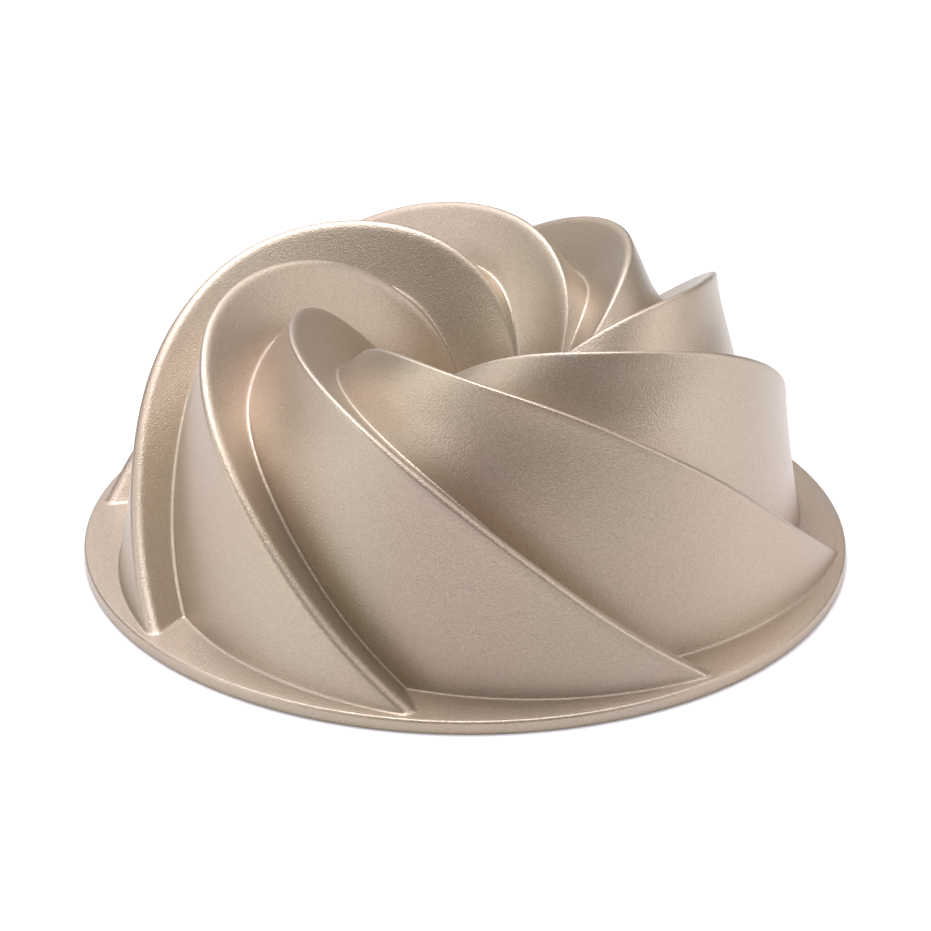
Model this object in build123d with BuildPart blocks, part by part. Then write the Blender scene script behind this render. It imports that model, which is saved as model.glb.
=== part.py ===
"""Swirled bundt pan of cast aluminium, standing crown up on its rim.

+Z is up and the origin is at the centre of the rim's flat face. Eight ridges rise from the rim flange, lean
over the crown and wind down the centre tube. Seen from above they turn clockwise as they rise. Between one
ridge and the next the wall is a broad face outside and a narrower steep face on the side of the hole.
"""

import os
from math import atan2, cos, degrees, hypot, radians, sin

from build123d import *

# Driving dimensions, in millimetres
ridge_count = 8
rim_radius = 132.4
flange_thickness = 4.5
flange_edge_rounding = 1.0
cast_wall = 3.0
finish_film = 0.3
lining_film = 0.3
ridge_setback = 3.0
valley_setback = 1.6
tube_end_height = 6.0
tube_cut_radius = 30.0
skirt_depth = 2.0

# One ridge's crest and the foot of its steep face, from the rim flange to the centre tube's end. Each row is
# a radius, a clockwise sweep in degrees and a height. Row by row, the two lists are one section of the wall.
crest_rows = [
    (129.1, -1.2, 5.0),
    (121.4, 11.1, 24.5),
    (115.0, 22.5, 43.5),
    (108.6, 35.0, 62.4),
    (100.4, 48.9, 78.9),
    (88.9, 65.9, 91.7),
    (72.8, 87.0, 97.3),
    (55.3, 110.6, 94.0),
    (41.3, 138.2, 77.9),
    (28.2, 165.8, 48.6),
    (18.5, 185.0, 8.0),
]
valley_rows = [
    (113.1, 1.8, 5.0),
    (105.9, 13.8, 23.0),
    (98.8, 26.0, 42.0),
    (92.2, 38.0, 58.8),
    (84.0, 49.8, 69.6),
    (73.6, 62.2, 75.2),
    (63.0, 76.8, 78.6),
    (51.0, 92.6, 77.5),
    (37.8, 108.5, 66.8),
    (26.5, 127.0, 43.5),
    (18.5, 150.0, 8.0),
]
# How far the middle of the broad face stands out beyond an even sweep from valley to crest, row by row.
broad_face_bulges = [0.0, 0.0, -0.3, -1.2, -1.8, -2.2, -1.2, -0.4, 0.0, 0.0, 0.0]

pitch = 360 / ridge_count
longest_setback_share = 0.3
points_per_face = 7
sliver = 0.02


def place(radius, sweep, height):
    """A point from its radius, its clockwise angle seen from above, and its height."""
    return Vector(radius * cos(radians(sweep)), -radius * sin(radians(sweep)), height)


def directions_along(rows):
    """The direction in which a smooth line through the rows runs at each row."""
    points = [place(*row) for row in rows]
    with BuildLine() as path:
        Spline(*points)
    edge = path.edge()
    return [edge.tangent_at(edge.param_at_point(point)) for point in points]


def broad_face_point(valley, crest, bulge, share):
    """A point on the broad face, share of the way round from a valley to the next ridge's crest."""
    turn = pitch - crest[1] + valley[1]
    radius = valley[0] + (crest[0] - valley[0]) * share + 4 * bulge * share * (1 - share)
    return place(radius, valley[1] - turn * share, valley[2] + (crest[2] - valley[2]) * share)


def steep_face_point(crest, valley, share):
    """A point on the steep face, share of the way down from a ridge's crest to its own valley."""
    row = [start + (end - start) * share for start, end in zip(crest, valley)]
    return place(*row)


def sunk(point, sweep_near, depth, along, before, after):
    """A corner's row sunk into the wall by depth, from the directions of the faces before and after it."""
    normal = before.cross(along).normalized()
    other = after.cross(along).normalized()
    moved = point - (normal + other) * (depth / (1 + normal.dot(other)))
    sweep = -degrees(atan2(moved.Y, moved.X))
    turns = round((sweep_near - sweep) / 360)
    return hypot(moved.X, moved.Y), sweep + 360 * turns, moved.Z


def levelled(row, next_row, height):
    """A row at the given height on the straight line from next_row through row."""
    share = (height - next_row[2]) / (row[2] - next_row[2])
    radius = next_row[0] + (row[0] - next_row[0]) * share
    sweep = next_row[1] + (row[1] - next_row[1]) * share
    return radius, sweep, height


def rows_at_depth(depth):
    """Crest and valley rows of the surface that lies depth inside the pan's outer skin, skirt to skirt."""
    crests = []
    valleys = []
    up_crest = directions_along(crest_rows)
    up_valley = directions_along(valley_rows)
    for i, (crest, valley, bulge) in enumerate(zip(crest_rows, valley_rows, broad_face_bulges)):
        top = place(*crest)
        foot = place(*valley)
        # The broad face reaches this crest from the ridge before, one pitch further round.
        broad_in = top - broad_face_point(valley, crest, bulge, 1 - sliver).rotate(Axis.Z, -pitch)
        steep_out = steep_face_point(crest, valley, sliver) - top
        steep_in = foot - steep_face_point(crest, valley, 1 - sliver)
        broad_out = broad_face_point(valley, crest, bulge, sliver) - foot
        crests.append(sunk(top, crest[1], depth, up_crest[i], broad_in, steep_out))
        valleys.append(sunk(foot, valley[1], depth, up_valley[i], steep_in, broad_out))
    for rows in (crests, valleys):
        rows.insert(0, levelled(rows[0], rows[1], -skirt_depth))
        rows.append(levelled(rows[-1], rows[-2], -skirt_depth))
    return crests, valleys


def shares_between(first, last):
    """Evenly spaced shares of a face's width, from first to last."""
    step = (last - first) / (points_per_face - 1)
    return [first + step * i for i in range(points_per_face)]


def pitch_section(crest, valley, bulge):
    """One pitch of a section: broad face, rounded crest, steep face and rounded valley."""
    top = place(*crest).rotate(Axis.Z, pitch)
    foot = place(*valley)
    next_foot = foot.rotate(Axis.Z, pitch)
    broad_length = (top - foot).length
    steep_length = (next_foot - top).length
    longest_setback = longest_setback_share * min(broad_length, steep_length)
    crest_cut = min(ridge_setback, longest_setback)
    valley_cut = min(valley_setback, longest_setback)
    broad_shares = shares_between(valley_cut / broad_length, 1 - crest_cut / broad_length)
    steep_shares = shares_between(crest_cut / steep_length, 1 - valley_cut / steep_length)
    broad = [broad_face_point(valley, crest, bulge, share) for share in broad_shares]
    steep = [steep_face_point(crest, valley, share).rotate(Axis.Z, pitch) for share in steep_shares]
    with BuildLine() as section:
        Spline(*broad)
        Bezier(broad[-1], top, steep[0])
        Spline(*steep)
        Bezier(steep[-1], next_foot, broad[0].rotate(Axis.Z, pitch))
    return section.wire()


def swirled_form(depth):
    """The pan's whole form, solid from its skin at a depth down to a flat ring under the rim."""
    crests, valleys = rows_at_depth(depth)
    # The skirt below the rim and the one below the tube's end keep the bulge of the row beside them.
    bulges = [broad_face_bulges[0], *broad_face_bulges, broad_face_bulges[-1]]
    sections = [pitch_section(*rows) for rows in zip(crests, valleys, bulges)]
    one_pitch = Shell.make_loft(sections)
    angles = [i * pitch for i in range(ridge_count)]
    skin = [face for angle in angles for face in one_pitch.rotate(Axis.Z, angle).faces()]
    rings = []
    for section in (sections[0], sections[-1]):
        rings.append(Wire([edge for angle in angles for edge in section.rotate(Axis.Z, angle).edges()]))
    base = Face(rings[0], [rings[1]])
    return Solid(Shell(skin + [base]))


def flange(depth):
    """The rim flange, a disc with a rounded upper edge, made depth smaller on its top and side."""
    with BuildPart() as disc:
        Cylinder(rim_radius - depth, flange_thickness - depth, align=(Align.CENTER, Align.CENTER, Align.MIN))
        fillet(disc.edges().group_by(Axis.Z)[-1], flange_edge_rounding - depth)
    return disc.part


outer_form = swirled_form(0)
casting_form = swirled_form(finish_film)
cavity_form = swirled_form(finish_film + cast_wall)
cake_form = swirled_form(finish_film + cast_wall + lining_film)


def trim_ends():
    """Cut the part being built flat at the rim's face and at the end of the centre tube."""
    split(bisect_by=Plane.XY, keep=Keep.TOP)
    Cylinder(
        tube_cut_radius,
        2 * tube_end_height,
        mode=Mode.SUBTRACT,
    )


with BuildPart() as cast_body:
    add(flange(finish_film))
    add(casting_form)
    add(cavity_form, mode=Mode.SUBTRACT)
    trim_ends()

with BuildPart() as outer_finish:
    add(flange(0))
    add(outer_form)
    add(flange(finish_film), mode=Mode.SUBTRACT)
    add(casting_form, mode=Mode.SUBTRACT)
    trim_ends()

with BuildPart() as nonstick_lining:
    add(cavity_form)
    add(cake_form, mode=Mode.SUBTRACT)
    trim_ends()

os.makedirs("parts", exist_ok=True)

cast_body.part.label = "cast_body"
export_step(cast_body.part, "parts/cast_body.step")

outer_finish.part.label = "outer_finish"
export_step(outer_finish.part, "parts/outer_finish.step")

nonstick_lining.part.label = "nonstick_lining"
export_step(nonstick_lining.part, "parts/nonstick_lining.step")
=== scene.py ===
"""Looks of the swirled bundt pan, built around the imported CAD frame, in metres.

The skin, the lining and the casting between them are three closed meshes, made from the same ridge
lines as the CAD parts. Their finish is a champagne-gold metallic coating with a fine sandy grain.
"""

import math

import bpy
import numpy as np
from mathutils import Matrix, Vector


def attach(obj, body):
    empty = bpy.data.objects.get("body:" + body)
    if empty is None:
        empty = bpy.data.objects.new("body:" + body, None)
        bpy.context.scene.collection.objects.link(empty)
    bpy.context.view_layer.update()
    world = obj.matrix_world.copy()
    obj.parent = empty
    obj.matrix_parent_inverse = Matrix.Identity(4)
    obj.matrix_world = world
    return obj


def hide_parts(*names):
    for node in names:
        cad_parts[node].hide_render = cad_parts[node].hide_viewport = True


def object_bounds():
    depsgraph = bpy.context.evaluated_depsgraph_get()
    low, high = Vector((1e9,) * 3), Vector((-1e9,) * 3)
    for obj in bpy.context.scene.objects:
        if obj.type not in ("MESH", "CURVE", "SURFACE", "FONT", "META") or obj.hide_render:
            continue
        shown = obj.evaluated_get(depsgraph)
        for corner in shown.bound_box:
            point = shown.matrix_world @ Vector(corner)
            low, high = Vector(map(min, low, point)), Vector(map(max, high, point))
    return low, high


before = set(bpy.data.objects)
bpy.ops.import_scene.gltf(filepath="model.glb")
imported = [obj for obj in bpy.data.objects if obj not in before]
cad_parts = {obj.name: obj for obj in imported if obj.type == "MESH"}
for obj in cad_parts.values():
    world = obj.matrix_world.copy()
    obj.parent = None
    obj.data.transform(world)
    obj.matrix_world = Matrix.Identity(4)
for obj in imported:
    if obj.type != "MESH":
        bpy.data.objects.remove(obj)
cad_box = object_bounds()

MM = 0.001
BODY = "root"

# The ridge lines, as in the CAD part: radius and height in millimetres, clockwise sweep in degrees.
# Every length down to the meshes is in millimetres too. These rows and the bulges came from least-squares
# fits to lines traced on the photograph, and some of them were then adjusted.
CREST_ROWS = [
    (129.1, -1.2, 5.0),
    (121.4, 11.1, 24.5),
    (115.0, 22.5, 43.5),
    (108.6, 35.0, 62.4),
    (100.4, 48.9, 78.9),
    (88.9, 65.9, 91.7),
    (72.8, 87.0, 97.3),
    (55.3, 110.6, 94.0),
    (41.3, 138.2, 77.9),
    (28.2, 165.8, 48.6),
    (18.5, 185.0, 8.0),
]
VALLEY_ROWS = [
    (113.1, 1.8, 5.0),
    (105.9, 13.8, 23.0),
    (98.8, 26.0, 42.0),
    (92.2, 38.0, 58.8),
    (84.0, 49.8, 69.6),
    (73.6, 62.2, 75.2),
    (63.0, 76.8, 78.6),
    (51.0, 92.6, 77.5),
    (37.8, 108.5, 66.8),
    (26.5, 127.0, 43.5),
    (18.5, 150.0, 8.0),
]
# How far the middle of the broad face stands out beyond an even sweep from valley to crest, row by row.
BROAD_FACE_BULGES = [0.0, 0.0, -0.3, -1.2, -1.8, -2.2, -1.2, -0.4, 0.0, 0.0, 0.0]
RIDGES = 8
PITCH = 360 / RIDGES
FLANGE_TOP = 4.5
FLANGE_EDGE_ROUNDING = 1.0
UNDER_EDGE_ROUNDING = 0.5
FILM = 0.3
WALL = 3.0
RIDGE_SETBACK = 5.0
CREST_FULLNESS = 0.45
VALLEY_SETBACK = 1.6
FOOT_FILLET = 1.0
CORNER_FILLET = 0.5
TUBE_END = 6.0
LONGEST_SETBACK_SHARE = 0.3
RIM_RADIUS = cad_box[1].x / MM


# --- The ridge lines ------------------------------------------------------------------------------

def spline_through(rows, at):
    """Values and slopes, at fractional row numbers, of the natural cubic spline through the rows."""
    rows = np.array(rows, float)
    count = len(rows)
    system = np.eye(count)
    right = np.zeros_like(rows)
    for i in range(1, count - 1):
        system[i, i - 1:i + 2] = (1, 4, 1)
        right[i] = 6 * (rows[i - 1] - 2 * rows[i] + rows[i + 1])
    bend = np.linalg.solve(system, right)
    i = np.clip(np.floor(at).astype(int), 0, count - 2)
    b = (at - i)[:, None]
    a = 1 - b
    values = a * rows[i] + b * rows[i + 1] + ((a**3 - a) * bend[i] + (b**3 - b) * bend[i + 1]) / 6
    slopes = rows[i + 1] - rows[i] + ((1 - 3 * a**2) * bend[i] + (3 * b**2 - 1) * bend[i + 1]) / 6
    return values, slopes


def place(rows):
    """Points from radii, clockwise sweeps in degrees and heights."""
    radius, sweep, height = np.moveaxis(np.asarray(rows, float), -1, 0)
    angle = np.radians(-sweep)
    return np.stack([radius * np.cos(angle), radius * np.sin(angle), height], -1)


def directions(rows, slopes):
    """Unit directions of travel, from rows and their slopes."""
    step = 1e-4
    travel = place(rows + slopes * step) - place(rows - slopes * step)
    return unit(travel)


def unit(vectors):
    return vectors / np.maximum(np.linalg.norm(vectors, axis=-1, keepdims=True), 1e-9)


def turned(points, degrees_round):
    """Points turned counter-clockwise about the pan's axis."""
    angle = math.radians(degrees_round)
    cos, sin = math.cos(angle), math.sin(angle)
    return points @ np.array([[cos, sin, 0], [-sin, cos, 0], [0, 0, 1]])


def broad_face(valley, crest, bulge, share):
    """Points of the broad face, share of the way round from a valley to the next ridge's crest."""
    turn = PITCH - crest[:, 1] + valley[:, 1]
    rows = valley + (crest - valley) * share
    rows = np.stack([rows[:, 0] + (4 * bulge * share[:, 0] * (1 - share[:, 0])),
                     valley[:, 1] - turn * share[:, 0],
                     rows[:, 2]], -1)
    return place(rows)


def steep_face(crest, valley, share):
    """Points of the steep face, share of the way down from a crest to its own valley."""
    return place(crest + (valley - crest) * share)


def sunk(rows, depth, along, before, after):
    """Corner rows moved into the wall by depth, given the directions of the faces before and after them."""
    normal = unit(np.cross(before, along))
    other = unit(np.cross(after, along))
    lean = depth / (1 + (normal * other).sum(-1, keepdims=True))
    moved = place(rows) - (normal + other) * lean
    sweep = -np.degrees(np.arctan2(moved[:, 1], moved[:, 0]))
    sweep += 360 * np.round((rows[:, 1] - sweep) / 360)
    return np.stack([np.hypot(moved[:, 0], moved[:, 1]), sweep, moved[:, 2]], -1)


def bulges_at(at):
    """The broad face's bulge at fractional row numbers."""
    return spline_through([(bulge,) for bulge in BROAD_FACE_BULGES], at)[0][:, 0]


def rows_at(at, depth):
    """Crest and valley rows at fractional row numbers, on the surface depth inside the outer skin."""
    crest, crest_slope = spline_through(CREST_ROWS, at)
    valley, valley_slope = spline_through(VALLEY_ROWS, at)
    bulge = bulges_at(at)
    sliver = np.full((len(at), 1), 0.02)
    top, foot = place(crest), place(valley)
    broad_in = top - turned(broad_face(valley, crest, bulge, 1 - sliver), -PITCH)
    broad_out = broad_face(valley, crest, bulge, sliver) - foot
    steep_out = steep_face(crest, valley, sliver) - top
    steep_in = foot - steep_face(crest, valley, 1 - sliver)
    up_crest, up_valley = directions(crest, crest_slope), directions(valley, valley_slope)
    # The crests stand a little proud, which makes up for the height that their rounding takes off them.
    crest = sunk(crest, depth - CREST_FULLNESS, up_crest, broad_in, steep_out)
    return crest, sunk(valley, depth, up_valley, steep_in, broad_out)


# --- Sections and rings ---------------------------------------------------------------------------

def bend_between(start, corner, end, count):
    """Count points of the round bend that joins two faces near their corner, without its last point."""
    half_width = np.linalg.norm(end - start, axis=-1, keepdims=True) / 2
    pull = half_width / np.linalg.norm(corner - start, axis=-1, keepdims=True)
    points = []
    for i in range(count):
        b = i / count
        before, middle, after = (1 - b)**2, 2 * pull * b * (1 - b), b**2
        points.append((before * start + middle * corner + after * end) / (before + middle + after))
    return points


def sections(at, depth, columns):
    """One ring of points round the pan for each fractional row number, as an array of rows by columns."""
    broad_count, crest_count, steep_count, valley_count = columns
    crest, valley = rows_at(at, depth)
    top, foot = turned(place(crest), PITCH), place(valley)
    next_foot = turned(foot, PITCH)
    broad_length = np.linalg.norm(top - foot, axis=1)[:, None]
    steep_length = np.linalg.norm(next_foot - top, axis=1)[:, None]
    longest = LONGEST_SETBACK_SHARE * np.minimum(broad_length, steep_length)
    crest_cut = np.minimum(RIDGE_SETBACK, longest)
    valley_cut = np.minimum(VALLEY_SETBACK, longest)
    first, last = valley_cut / broad_length, 1 - crest_cut / broad_length
    bulge = bulges_at(at)
    broad = [broad_face(valley, crest, bulge, first + (last - first) * i / broad_count)
             for i in range(broad_count + 1)]
    first, last = crest_cut / steep_length, 1 - valley_cut / steep_length
    steep = [turned(steep_face(crest, valley, first + (last - first) * i / steep_count), PITCH)
             for i in range(steep_count + 1)]
    one_pitch = broad[:-1]
    one_pitch += bend_between(broad[-1], top, steep[0], crest_count)
    one_pitch += steep[:-1]
    one_pitch += bend_between(steep[-1], next_foot, turned(broad[0], PITCH), valley_count)
    one_pitch = np.stack(one_pitch, 1)
    return np.concatenate([turned(one_pitch, i * PITCH) for i in range(RIDGES)], 1)


def row_number_at(height, depth, end):
    """The fractional row number at which the crest at a depth crosses a height near one end."""
    tail = np.array([0.0, 0.5]) if end == "foot" else np.array([9.5, 10.0])
    crest, _ = rows_at(tail, depth)
    slope = (crest[1, 2] - crest[0, 2]) / 0.5
    return tail[0] + (height - crest[0, 2]) / slope


def trimmed(rings, height, end):
    """The rings, with the one at the foot or at the tube's end slid along the wall to a height."""
    edge, inner = (0, 1) if end == "foot" else (-1, -2)
    share = (height - rings[inner, :, 2]) / (rings[edge, :, 2] - rings[inner, :, 2])
    rings[edge] = rings[inner] + (rings[edge] - rings[inner]) * share[:, None]
    return rings


def ring_normals(ring):
    """Level unit normals of a closed ring, pointing away from the axis side."""
    ahead = np.roll(ring, -1, 0) - ring
    behind = ring - np.roll(ring, 1, 0)
    travel = unit(ahead) + unit(behind)
    return unit(np.stack([travel[:, 1], -travel[:, 0], np.zeros(len(ring))], -1))


def edge_angles(ring, columns):
    """Angles on the flange's round edge for each column, so that lines from the wall's foot never cross."""
    broad_count, crest_count, steep_count, valley_count = columns
    weights = [1.0] * broad_count + [0.35] * crest_count + [0.45] * steep_count + [0.35] * valley_count
    steps = np.array(weights * RIDGES)
    angles = np.concatenate([[0], np.cumsum(steps)[:-1]]) / steps.sum() * 360
    tip = broad_count
    start = math.degrees(math.atan2(ring[tip, 1], ring[tip, 0])) - angles[tip]
    return np.radians(angles + start)


def circle(angles, radius, height):
    return np.stack([radius * np.cos(angles), radius * np.sin(angles), np.full(len(angles), height)], -1)


def foot_reach(columns):
    """How far each column's bend reaches onto the flat face: less in the tight corner of a valley."""
    reach = np.full(sum(columns), FOOT_FILLET)
    reach[0] = CORNER_FILLET
    reach[-columns[3]:] = CORNER_FILLET
    return np.tile(reach, RIDGES)[:, None]


def foot_bend(rings, columns, steps):
    """Rings of the bend between the wall and the flat face that it meets."""
    start, foot = rings[1], rings[0]
    end = foot + ring_normals(foot) * foot_reach(columns)
    shares = [i / steps for i in range(1, steps + 1)]
    return [(1 - b)**2 * start + 2 * b * (1 - b) * foot + b**2 * end for b in shares]


def flange_rings(last, angles, radius, height, count):
    """Flat rings from the last ring of the bend out to a circle, closer together near the wall."""
    rim = circle(angles, radius, height)
    return [last + (rim - last) * (i / count)**1.3 for i in range(1, count + 1)]


def wall_rows(depth, foot_height, rise, row_count):
    """Row numbers of the wall: the foot, the top of its bend, then evenly on to the tube's end."""
    first = row_number_at(foot_height, depth, "foot")
    second = row_number_at(foot_height + rise, depth, "foot")
    last = row_number_at(TUBE_END, depth, "end")
    return np.concatenate([[first], np.linspace(second, last, row_count)])


def outer_rings(depth, columns, row_count, under_height):
    """Rings of the outside: from under the flange's edge over its top, up the wall and down the tube."""
    height = FLANGE_TOP - depth
    radius = RIM_RADIUS - depth
    rings = sections(wall_rows(depth, height, FOOT_FILLET, row_count), depth, columns)
    rings = trimmed(trimmed(rings, height, "foot"), TUBE_END, "end")
    angles = edge_angles(rings[0], columns)
    bend = foot_bend(rings, columns, 5)
    flat = flange_rings(bend[-1], angles, radius - FLANGE_EDGE_ROUNDING, height, 6)
    edge = []
    for i in range(1, 9):
        turn = math.radians(90 * i / 8)
        edge.append(circle(angles, radius - FLANGE_EDGE_ROUNDING * (1 - math.sin(turn)),
                           height - FLANGE_EDGE_ROUNDING * (1 - math.cos(turn))))
    side = []
    for i in range(5):
        turn = math.radians(90 * i / 4)
        side.append(circle(angles, radius - UNDER_EDGE_ROUNDING * (1 - math.cos(turn)),
                           under_height + UNDER_EDGE_ROUNDING * (1 - math.sin(turn))))
    skirt = (bend + flat + edge + side)[::-1]
    return np.concatenate([np.stack(skirt), rings[1:]])


def inner_rings(depth, columns, row_count, rim_height):
    """Rings of the inside: from the rim's face up the wall, over the crown and down to the tube's end."""
    rings = sections(wall_rows(depth, rim_height, FOOT_FILLET, row_count), depth, columns)
    rings = trimmed(trimmed(rings, rim_height, "foot"), TUBE_END, "end")
    angles = edge_angles(rings[0], columns)
    bend = foot_bend(rings, columns, 4)
    flat = flange_rings(bend[-1], angles, RIM_RADIUS - UNDER_EDGE_ROUNDING - FILM, rim_height, 6)
    return np.concatenate([np.stack((bend + flat)[::-1]), rings[1:]])


# --- Meshes ---------------------------------------------------------------------------------------

def mesh_piece(name, rings, outside, closed=False):
    """A mesh object from rings of points, whose faces look out of the wall's outside or its inside."""
    count, around = rings.shape[:2]
    vertices = (rings.reshape(-1, 3) * MM).tolist()
    faces = []
    for row in range(count if closed else count - 1):
        above = (row + 1) % count
        for column in range(around):
            beside = (column + 1) % around
            corners = [row * around + column, row * around + beside,
                       above * around + beside, above * around + column]
            faces.append(corners if outside else corners[::-1])
    mesh = bpy.data.meshes.new(name)
    mesh.from_pydata(vertices, [], faces)
    mesh.polygons.foreach_set("use_smooth", [True] * len(mesh.polygons))
    mesh.update()
    piece = bpy.data.objects.new(name, mesh)
    bpy.context.scene.collection.objects.link(piece)
    return piece


def thicken(piece, thickness):
    """Give a one-sided film its thickness, on the side away from its face normals."""
    solid = piece.modifiers.new("film", "SOLIDIFY")
    solid.thickness = thickness * MM
    solid.offset = -1
    solid.use_even_offset = False
    with bpy.context.temp_override(object=piece, active_object=piece):
        bpy.ops.object.modifier_apply(modifier="film")


# Columns of one pitch, on its broad face, crest, steep face and valley, and rows from foot to tube end.
OUTER_COLUMNS, OUTER_ROWS = (20, 7, 10, 5), 104
LINING_COLUMNS, LINING_ROWS = (15, 6, 8, 5), 84
CASTING_COLUMNS, CASTING_ROWS = (9, 4, 5, 3), 60
# The casting is drawn this far inside the two films. Its faces are larger than theirs, so it still crosses
# the films' hidden sides, but never the sides that show.
CASTING_GAP = 0.02

outer_skin = mesh_piece("outer_skin", outer_rings(0, OUTER_COLUMNS, OUTER_ROWS, 0), True)
thicken(outer_skin, FILM)
lining_rings = inner_rings(FILM + WALL + FILM, LINING_COLUMNS, LINING_ROWS, 0)
lining = mesh_piece("inner_lining", lining_rings, False)
thicken(lining, FILM)
casting_outside = outer_rings(FILM + CASTING_GAP, CASTING_COLUMNS, CASTING_ROWS, FILM + CASTING_GAP)
casting_inside = inner_rings(FILM + WALL - CASTING_GAP, CASTING_COLUMNS, CASTING_ROWS, FILM + CASTING_GAP)
casting_rings = np.concatenate([casting_outside, casting_inside[::-1]])
casting = mesh_piece("casting", casting_rings, True, closed=True)


# --- Materials ------------------------------------------------------------------------------------

# Noise features per metre: the coating's sandy grain, its slow drift of colour and the casting's grain.
COATING_GRAIN = 1700
COLOUR_DRIFT = 14
CASTING_GRAIN = 900
GRAIN_HEIGHT = 0.20 * MM


def metal(name, metallic):
    """A new metallic material, with its nodes, links and shader."""
    material = bpy.data.materials.new(name)
    material.use_nodes = True
    nodes, links = material.node_tree.nodes, material.node_tree.links
    shader = nodes["Principled BSDF"]
    shader.inputs["Metallic"].default_value = metallic
    return material, nodes, links, shader


def noise(nodes, links, scale):
    """A noise texture fixed to the object."""
    place_on = nodes.new("ShaderNodeTexCoord")
    texture = nodes.new("ShaderNodeTexNoise")
    texture.inputs["Scale"].default_value = scale
    texture.inputs["Detail"].default_value = 2
    links.new(place_on.outputs["Object"], texture.inputs["Vector"])
    return texture


def vary_roughness(nodes, links, shader, grain, lowest, highest):
    """Let the grain vary the shader's roughness between two values."""
    rough = nodes.new("ShaderNodeMapRange")
    rough.inputs["To Min"].default_value = lowest
    rough.inputs["To Max"].default_value = highest
    links.new(grain.outputs["Fac"], rough.inputs["Value"])
    links.new(rough.outputs["Result"], shader.inputs["Roughness"])


def champagne_coating(name, base, roughness, grain_strength):
    """Metallic champagne coating: satin metal with a fine sandy grain and a faint drift of colour."""
    material, nodes, links, shader = metal(name, 0.85)
    shader.inputs["Coat Weight"].default_value = 0.45
    shader.inputs["Coat Roughness"].default_value = 0.22
    grain = noise(nodes, links, COATING_GRAIN)
    grain.inputs["Roughness"].default_value = 0.65
    drift = noise(nodes, links, COLOUR_DRIFT)
    speckle = nodes.new("ShaderNodeValToRGB")
    dark, light = speckle.color_ramp.elements
    dark.position, light.position = 0.30, 0.70
    dark.color = [channel * 0.84 for channel in base] + [1]
    light.color = [channel * 1.10 for channel in base] + [1]
    links.new(grain.outputs["Fac"], speckle.inputs["Fac"])
    tint = nodes.new("ShaderNodeMix")
    tint.data_type = "RGBA"
    tint.blend_type = "MULTIPLY"
    tint.inputs["Factor"].default_value = 0.12
    links.new(speckle.outputs["Color"], tint.inputs["A"])
    links.new(drift.outputs["Color"], tint.inputs["B"])
    links.new(tint.outputs["Result"], shader.inputs["Base Color"])
    vary_roughness(nodes, links, shader, grain, roughness - 0.06, roughness + 0.08)
    bump = nodes.new("ShaderNodeBump")
    bump.inputs["Strength"].default_value = grain_strength
    bump.inputs["Distance"].default_value = GRAIN_HEIGHT
    links.new(grain.outputs["Fac"], bump.inputs["Height"])
    for normal in ("Normal", "Coat Normal"):
        links.new(bump.outputs["Normal"], shader.inputs[normal])
    return material


def bare_aluminium():
    """Bare cast aluminium, which shows only at the edges where the films end."""
    material, nodes, links, shader = metal("cast_aluminium", 1)
    shader.inputs["Base Color"].default_value = (0.72, 0.71, 0.70, 1)
    grain = noise(nodes, links, CASTING_GRAIN)
    vary_roughness(nodes, links, shader, grain, 0.35, 0.55)
    return material


outer_skin.data.materials.append(champagne_coating("champagne_finish", (0.522, 0.422, 0.318), 0.43, 0.8))
lining.data.materials.append(champagne_coating("nonstick_lining", (0.47, 0.38, 0.31), 0.36, 0.25))
casting.data.materials.append(bare_aluminium())

for piece, node, slot in ((outer_skin, "outer_finish", "champagne_finish"),
                          (lining, "nonstick_lining", "nonstick_lining"),
                          (casting, "cast_body", "cast_aluminium")):
    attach(piece, BODY)
    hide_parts(node)


# --- Floor, light and camera ----------------------------------------------------------------------

FLOOR_HALF_WIDTH = 4.0
LIGHT_DISTANCE = 1.6
COOL = (0.98, 1.0, 1.16)
PALE = (1.0, 1.0, 1.09)
WARM = (1.04, 1.0, 0.94)


def floor():
    """A plain pale floor."""
    mesh = bpy.data.meshes.new("floor")
    half = FLOOR_HALF_WIDTH
    corners = [(-half, -half, 0), (half, -half, 0), (half, half, 0), (-half, half, 0)]
    mesh.from_pydata(corners, [], [(0, 1, 2, 3)])
    piece = bpy.data.objects.new("floor", mesh)
    bpy.context.scene.collection.objects.link(piece)
    material = bpy.data.materials.new("floor")
    material.use_nodes = True
    shader = material.node_tree.nodes["Principled BSDF"]
    shader.inputs["Base Color"].default_value = (0.94, 0.94, 0.94, 1)
    shader.inputs["Roughness"].default_value = 0.8
    piece.data.materials.append(material)


def direction(azimuth, elevation):
    """The way from the pan to an azimuth (0 in front, 90 on the right) and elevation, in degrees."""
    a, e = math.radians(azimuth), math.radians(elevation)
    return Vector((math.sin(a) * math.cos(e), -math.cos(a) * math.cos(e), math.sin(e)))


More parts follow.
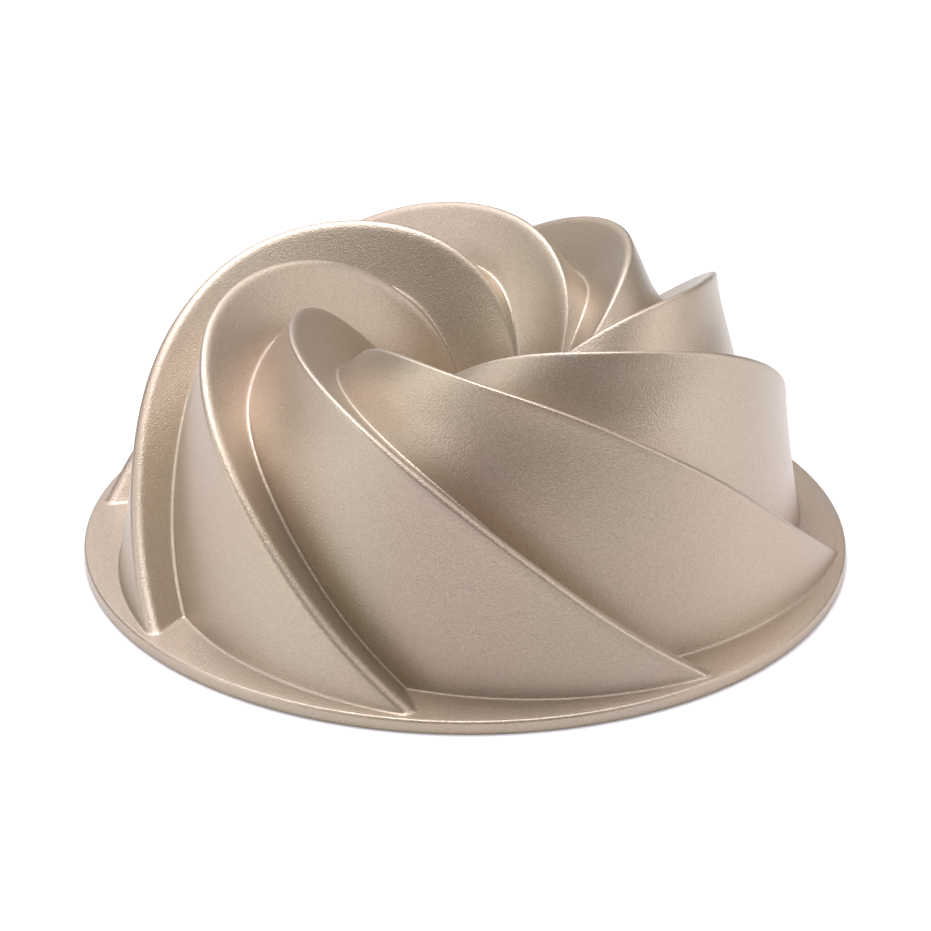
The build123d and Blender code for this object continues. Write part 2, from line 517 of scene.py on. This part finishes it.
def softbox(name, azimuth, elevation, size, power, tint):
    """A square light that faces the pan from an azimuth and elevation."""
    light = bpy.data.lights.new(name, "AREA")
    light.shape = "SQUARE"
    light.size = size
    light.energy = power
    light.color = tint
    lamp = bpy.data.objects.new(name, light)
    away = direction(azimuth, elevation)
    lamp.location = away * LIGHT_DISTANCE
    lamp.rotation_euler = (-away).to_track_quat("-Z", "Y").to_euler()
    bpy.context.scene.collection.objects.link(lamp)


def camera():
    """A long lens from the front, a little to the right and above the pan, fitted to the photograph."""
    away = direction(8.1, 26.09)
    distance = 1.020
    roll = math.radians(0.31)
    aim = Vector((0, 0, 0.0282))
    data = bpy.data.cameras.new("camera")
    data.sensor_width = 36
    data.lens = 113.9
    eye = bpy.data.objects.new("camera", data)
    eye.location = aim + away * distance
    turn = (-away).to_track_quat("-Z", "Y").to_matrix().to_4x4()
    eye.rotation_euler = (turn @ Matrix.Rotation(roll, 4, "Z")).to_euler()
    bpy.context.scene.collection.objects.link(eye)
    bpy.context.scene.camera = eye


def studio():
    """Soft pale panels, brightest overhead and behind the pan, and a weak even glow from all round.

    Their powers were fitted to the photograph and then adjusted.
    """
    softbox("key_high", 210, 75, 0.4, 7.2, COOL)
    softbox("overhead", 180, 85, 0.5, 8.2, PALE)
    softbox("back_left", 240, 60, 0.9, 5.5, COOL)
    softbox("back_right", 150, 60, 0.9, 5.3, PALE)
    softbox("back_left_low", 210, 35, 0.9, 2.8, PALE)
    softbox("left", 300, 35, 0.9, 5.1, PALE)
    softbox("left_low", 300, 12, 0.9, 4.1, PALE)
    softbox("right", 90, 35, 0.9, 3.8, PALE)
    softbox("right_low", 90, 12, 0.9, 4.3, PALE)
    world = bpy.data.worlds.new("studio")
    world.use_nodes = True
    glow = world.node_tree.nodes["Background"]
    glow.inputs["Color"].default_value = (*WARM, 1)
    glow.inputs["Strength"].default_value = 0.27
    bpy.context.scene.world = world
    bpy.context.scene.view_settings.view_transform = "Standard"


floor()
studio()
camera()
